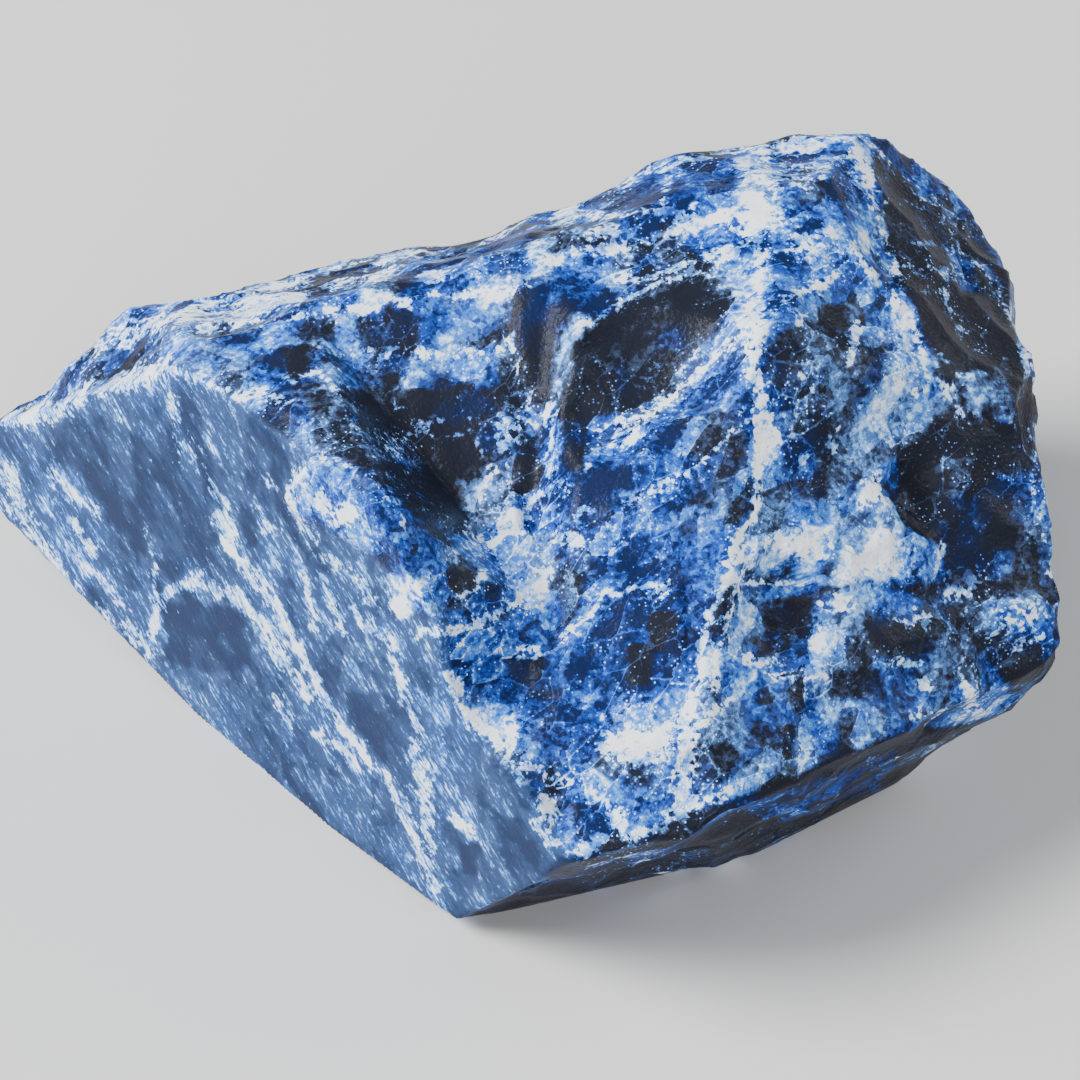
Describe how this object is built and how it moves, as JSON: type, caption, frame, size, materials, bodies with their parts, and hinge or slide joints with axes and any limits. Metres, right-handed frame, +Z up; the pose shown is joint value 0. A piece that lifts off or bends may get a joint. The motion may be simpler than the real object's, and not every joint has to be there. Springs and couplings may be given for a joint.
{
  "type": "rough sodalite",
  "caption": "Rough piece of dark blue sodalite with white veins, broken into a wedge with a ridged top, a hollow and a small flat underside to rest on.",
  "frame": {"origin": "middle of the stone's footprint box, on the surface that it rests on", "axes": "+X along the stone's longest side, towards its broad blunt end; +Y from the front to the back; +Z up"},
  "size_m": [0.0704, 0.0524, 0.0326],
  "materials": {
    "sodalite": "glassy broken stone, dark navy to royal blue with white veins"
  },
  "bodies": {
    "root": {"sodalite_stone": "sodalite"}
  },
  "joints": []
}
